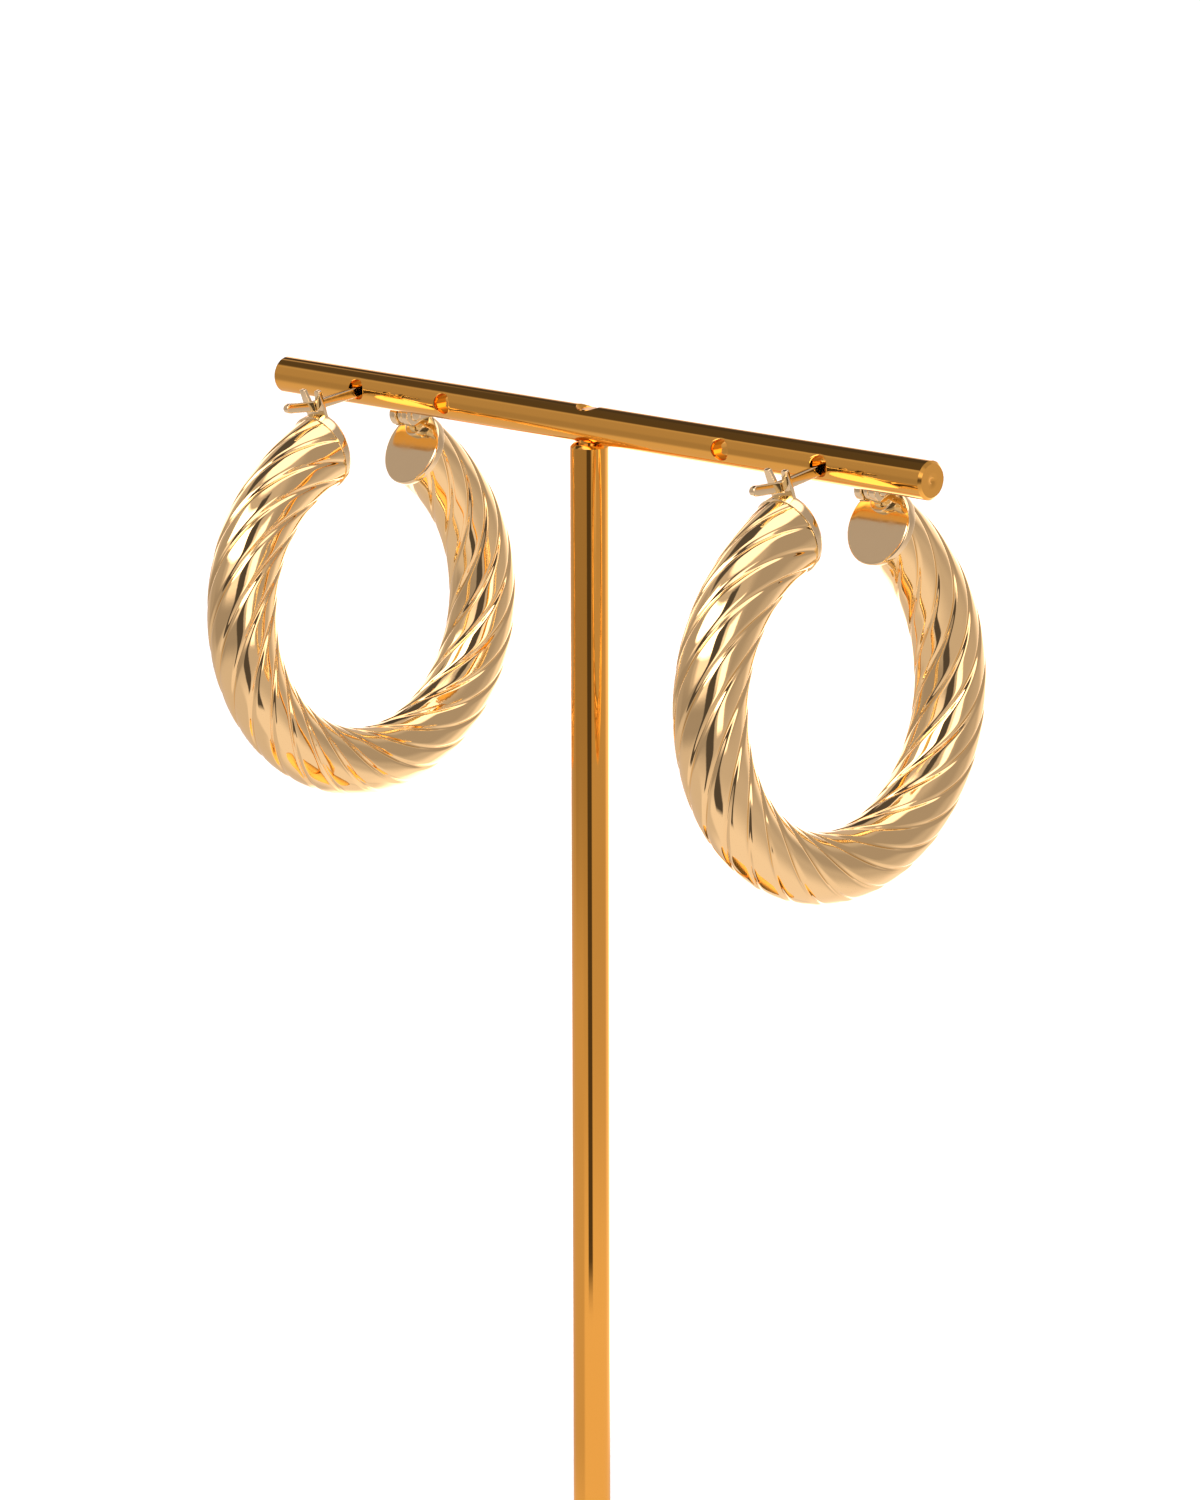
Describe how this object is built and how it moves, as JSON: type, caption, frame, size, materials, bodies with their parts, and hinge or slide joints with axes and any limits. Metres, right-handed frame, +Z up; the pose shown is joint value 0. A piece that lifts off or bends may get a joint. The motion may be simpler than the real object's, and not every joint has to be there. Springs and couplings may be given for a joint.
{
  "type": "pair of hoop earrings on a t-bar stand",
  "caption": "Twisted fluted hoop earrings with hinged ear posts and fork catches, hung through holes in the bar of a round T-bar display stand.",
  "frame": {"origin": "on the stand post's axis at the underside of the base", "axes": "+Z up along the stand post, +X along the bar, -Y towards the side with the catches"},
  "size_m": [0.0986, 0.076, 0.1521],
  "materials": {
    "earring_gold": "mirror polished pale yellow gold",
    "stand_gold": "polished deep yellow gold plate"
  },
  "bodies": {
    "stand": {"cross_bar": "stand_gold", "stand_post": "stand_gold", "stand_base": "stand_gold", "left_ear_post": "earring_gold", "right_ear_post": "earring_gold"},
    "left_hoop": {"left_hoop": "earring_gold", "left_hinge_pin": "earring_gold"},
    "right_hoop": {"right_hoop": "earring_gold", "right_hinge_pin": "earring_gold"}
  },
  "joints": [
    {"name": "left_hoop_hinge", "type": "hinge", "parent": "stand", "child": "left_hoop", "pos_m": [-0.03483, 0.00559, 0.14622], "axis": [0.997, -0.0348, 0.0698], "range_deg": [0, 75]},
    {"name": "right_hoop_hinge", "type": "hinge", "parent": "stand", "child": "right_hoop", "pos_m": [0.03579, 0.00631, 0.14644], "axis": [0.9968, -0.0383, 0.0698], "range_deg": [0, 75]}
  ]
}
